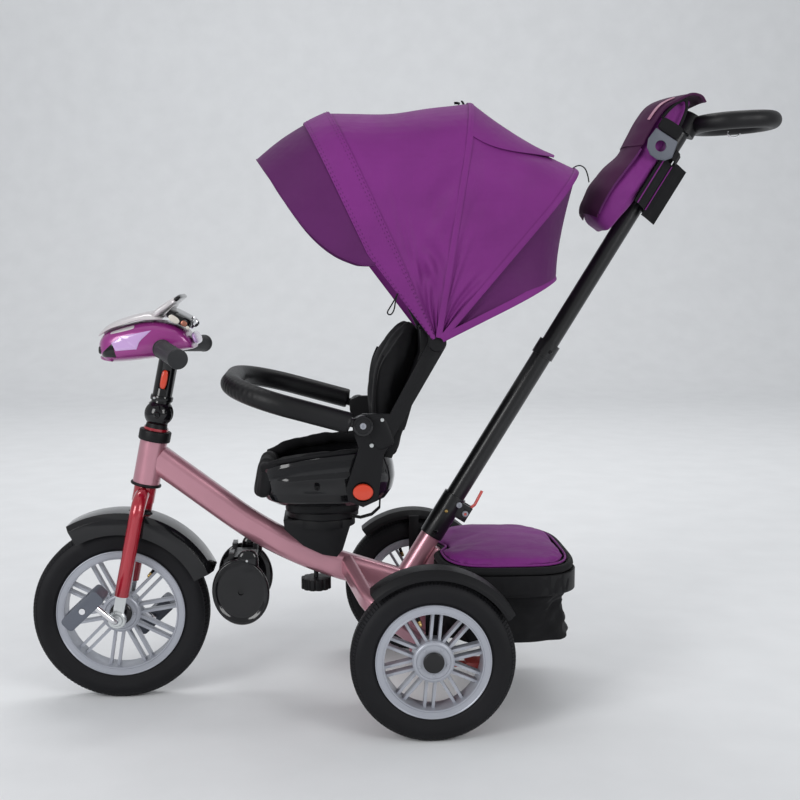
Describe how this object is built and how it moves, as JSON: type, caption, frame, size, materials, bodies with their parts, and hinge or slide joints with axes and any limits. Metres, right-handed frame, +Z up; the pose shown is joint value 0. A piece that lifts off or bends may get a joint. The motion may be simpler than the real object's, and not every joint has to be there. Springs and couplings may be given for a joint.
{
  "type": "children's tricycle",
  "caption": "Push tricycle for a toddler: curved frame, steering push pole, turning reclining seat with play bar, folding canopy, soft trunk and toy dashboard.",
  "frame": {"origin": "centre of the footprint, on the ground", "axes": "+X forward, +Y the rider's left, +Z up"},
  "size_m": [1.2779, 0.504, 1.0255],
  "materials": {
    "pink_paint": "satin metallic",
    "red_paint": "gloss",
    "zinc": "bright zinc",
    "chrome": "polished",
    "black_paint": "satin",
    "matte_black": "matte",
    "gloss_black": "gloss",
    "rim_grey": "satin grey",
    "tyre_rubber": "matte",
    "foam": "matte foam",
    "grip_rubber": "matte",
    "purple_cloth": "satin woven",
    "black_cloth": "woven",
    "purple_plastic": "pearl gloss",
    "silver_plastic": "metallised",
    "grey_plastic": "matte",
    "orange_plastic": "gloss",
    "coral_paint": "gloss"
  },
  "bodies": {
    "frame": {"main_tube": "pink_paint", "head_tube": "pink_paint", "headset_cups": "matte_black", "rear_post": "pink_paint", "stay_left": "pink_paint", "stay_right": "pink_paint", "rear_axle": "black_paint", "seat_base": "matte_black", "footrest_bracket": "black_paint", "rear_fender_left": "matte_black", "rear_fender_right": "matte_black", "pole_socket": "black_paint", "trunk_rim": "matte_black", "trunk_tub": "black_cloth"},
    "fork": {"fork": "red_paint", "fork_dropouts": "zinc", "front_fender": "gloss_black"},
    "handlebar": {"stem": "gloss_black", "handlebar": "black_paint", "grip_left": "grip_rubber", "grip_right": "grip_rubber", "console": "purple_plastic", "console_hood": "silver_plastic", "dashboard": "gloss_black"},
    "stem_button": {"stem_button": "orange_plastic"},
    "front_wheel": {"front_tyre": "tyre_rubber", "front_rim": "rim_grey", "crank_rod": "chrome"},
    "pedal_left": {"pedal_left": "grey_plastic"},
    "pedal_right": {"pedal_right": "grey_plastic"},
    "rear_wheel_left": {"rear_tyre_left": "tyre_rubber", "rear_rim_left": "rim_grey"},
    "rear_wheel_right": {"rear_tyre_right": "tyre_rubber", "rear_rim_right": "rim_grey"},
    "footrest_left": {"footrest_left": "gloss_black"},
    "footrest_right": {"footrest_right": "gloss_black"},
    "seat_knob": {"seat_knob": "matte_black"},
    "seat": {"seat_shell": "matte_black", "seat_cushion": "black_cloth"},
    "backrest": {"backrest_frame": "matte_black", "backrest_pad": "black_cloth"},
    "recline_button_left": {"recline_button_left": "orange_plastic"},
    "recline_button_right": {"recline_button_right": "orange_plastic"},
    "play_bar": {"play_bar": "black_paint", "play_bar_foam": "foam"},
    "canopy_rear": {"canopy_bow_rear": "matte_black", "canopy_curtain": "purple_cloth"},
    "canopy_mid": {"canopy_bow_mid": "matte_black", "canopy_panel_rear": "purple_cloth"},
    "canopy_front": {"canopy_bow_front": "matte_black", "canopy_visor": "purple_cloth", "canopy_panel_front": "purple_cloth"},
    "pole_lower": {"pole_lower": "black_paint"},
    "pole_upper": {"pole_upper": "black_paint", "push_handle": "foam", "push_bag": "purple_cloth", "cup_clip": "grey_plastic"},
    "clamp_lever": {"clamp_lever": "coral_paint"},
    "trunk_lid": {"trunk_lid": "purple_cloth"},
    "brake_bar": {"brake_bar": "coral_paint"}
  },
  "joints": [
    {"name": "steer", "type": "hinge", "parent": "frame", "child": "fork", "pos_m": [0.489, 0, 0.15], "axis": [-0.1994, 0, 0.9799], "range_deg": [-20, 20]},
    {"name": "handlebar_fold", "type": "hinge", "parent": "fork", "child": "handlebar", "pos_m": [0.41922, 0, 0.49297], "axis": [0, 1, 0], "range_deg": [0, 80]},
    {"name": "stem_button_press", "type": "slide", "parent": "handlebar", "child": "stem_button", "axis": [0, -1, 0], "range_m": [0, 0.003], "stiffness_N_per_m": 400},
    {"name": "front_wheel_spin", "type": "hinge", "parent": "fork", "child": "front_wheel", "pos_m": [0.489, 0, 0.15], "axis": [0, 1, 0], "continuous": true},
    {"name": "pedal_left_spin", "type": "hinge", "parent": "front_wheel", "child": "pedal_left", "pos_m": [0.52996, 0.11, 0.18819], "axis": [0, 1, 0], "continuous": true},
    {"name": "pedal_right_spin", "type": "hinge", "parent": "front_wheel", "child": "pedal_right", "pos_m": [0.44804, -0.11, 0.11181], "axis": [0, 1, 0], "continuous": true},
    {"name": "rear_wheel_left_spin", "type": "hinge", "parent": "frame", "child": "rear_wheel_left", "pos_m": [-0.029, 0.225, 0.13], "axis": [0, 1, 0], "continuous": true},
    {"name": "rear_wheel_right_spin", "type": "hinge", "parent": "frame", "child": "rear_wheel_right", "pos_m": [-0.029, -0.225, 0.13], "axis": [0, 1, 0], "continuous": true},
    {"name": "footrest_left_fold", "type": "hinge", "parent": "frame", "child": "footrest_left", "pos_m": [0.279, 0.046, 0.254], "axis": [1, 0, 0], "range_deg": [0, 90]},
    {"name": "footrest_right_fold", "type": "hinge", "parent": "frame", "child": "footrest_right", "pos_m": [0.279, -0.046, 0.254], "axis": [-1, 0, 0], "range_deg": [0, 90]},
    {"name": "seat_knob_turn", "type": "hinge", "parent": "frame", "child": "seat_knob", "pos_m": [0.155, 0, 0.195], "axis": [0, 0, 1], "continuous": true},
    {"name": "seat_swivel", "type": "hinge", "parent": "frame", "child": "seat", "pos_m": [0.143, 0, 0.32], "axis": [0, 0, 1], "range_deg": [-100, 100]},
    {"name": "backrest_recline", "type": "hinge", "parent": "seat", "child": "backrest", "pos_m": [0.077, 0, 0.38], "axis": [0, 1, 0], "range_deg": [0, 18]},
    {"name": "recline_button_left_press", "type": "slide", "parent": "backrest", "child": "recline_button_left", "axis": [0, -1, 0], "range_m": [0, 0.003], "stiffness_N_per_m": 400},
    {"name": "recline_button_right_press", "type": "slide", "parent": "backrest", "child": "recline_button_right", "axis": [0, 1, 0], "range_m": [0, 0.003], "stiffness_N_per_m": 400},
    {"name": "play_bar_lift", "type": "hinge", "parent": "backrest", "child": "play_bar", "pos_m": [0.077, 0, 0.489], "axis": [0, -1, 0], "range_deg": [0, 70]},
    {"name": "canopy_tilt", "type": "hinge", "parent": "backrest", "child": "canopy_rear", "pos_m": [-0.04, 0, 0.621], "axis": [0, 1, 0], "range_deg": [0, 15]},
    {"name": "canopy_mid_fold", "type": "hinge", "parent": "canopy_rear", "child": "canopy_mid", "pos_m": [-0.04, 0, 0.621], "axis": [0, -1, 0], "range_deg": [0, 25], "deforming": ["canopy_panel_rear"]},
    {"name": "canopy_front_fold", "type": "hinge", "parent": "canopy_mid", "child": "canopy_front", "pos_m": [-0.04, 0, 0.621], "axis": [0, -1, 0], "range_deg": [0, 27], "deforming": ["canopy_panel_front"]},
    {"name": "pole_twist", "type": "hinge", "parent": "frame", "child": "pole_lower", "pos_m": [-0.045, 0, 0.276], "axis": [-0.5225, 0, 0.8526], "range_deg": [-20, 20]},
    {"name": "pole_slide", "type": "slide", "parent": "pole_lower", "child": "pole_upper", "axis": [-0.5225, 0, 0.8526], "range_m": [-0.02, 0.06]},
    {"name": "clamp_lever_open", "type": "hinge", "parent": "frame", "child": "clamp_lever", "pos_m": [-0.10317, 0, 0.31542], "axis": [0, -1, 0], "range_deg": [0, 60]},
    {"name": "trunk_lid_open", "type": "hinge", "parent": "frame", "child": "trunk_lid", "pos_m": [-0.049, 0, 0.2404], "axis": [0, 1, 0], "range_deg": [0, 15]},
    {"name": "brake_press", "type": "hinge", "parent": "frame", "child": "brake_bar", "pos_m": [-0.007, 0, 0.106], "axis": [0, -1, 0], "range_deg": [0, 15]}
  ],
  "couplings": [
    {"joint": "canopy_mid_fold", "follows": "canopy_front_fold", "ratio": 0.92593},
    {"joint": "pole_twist", "follows": "steer", "ratio": 1}
  ]
}
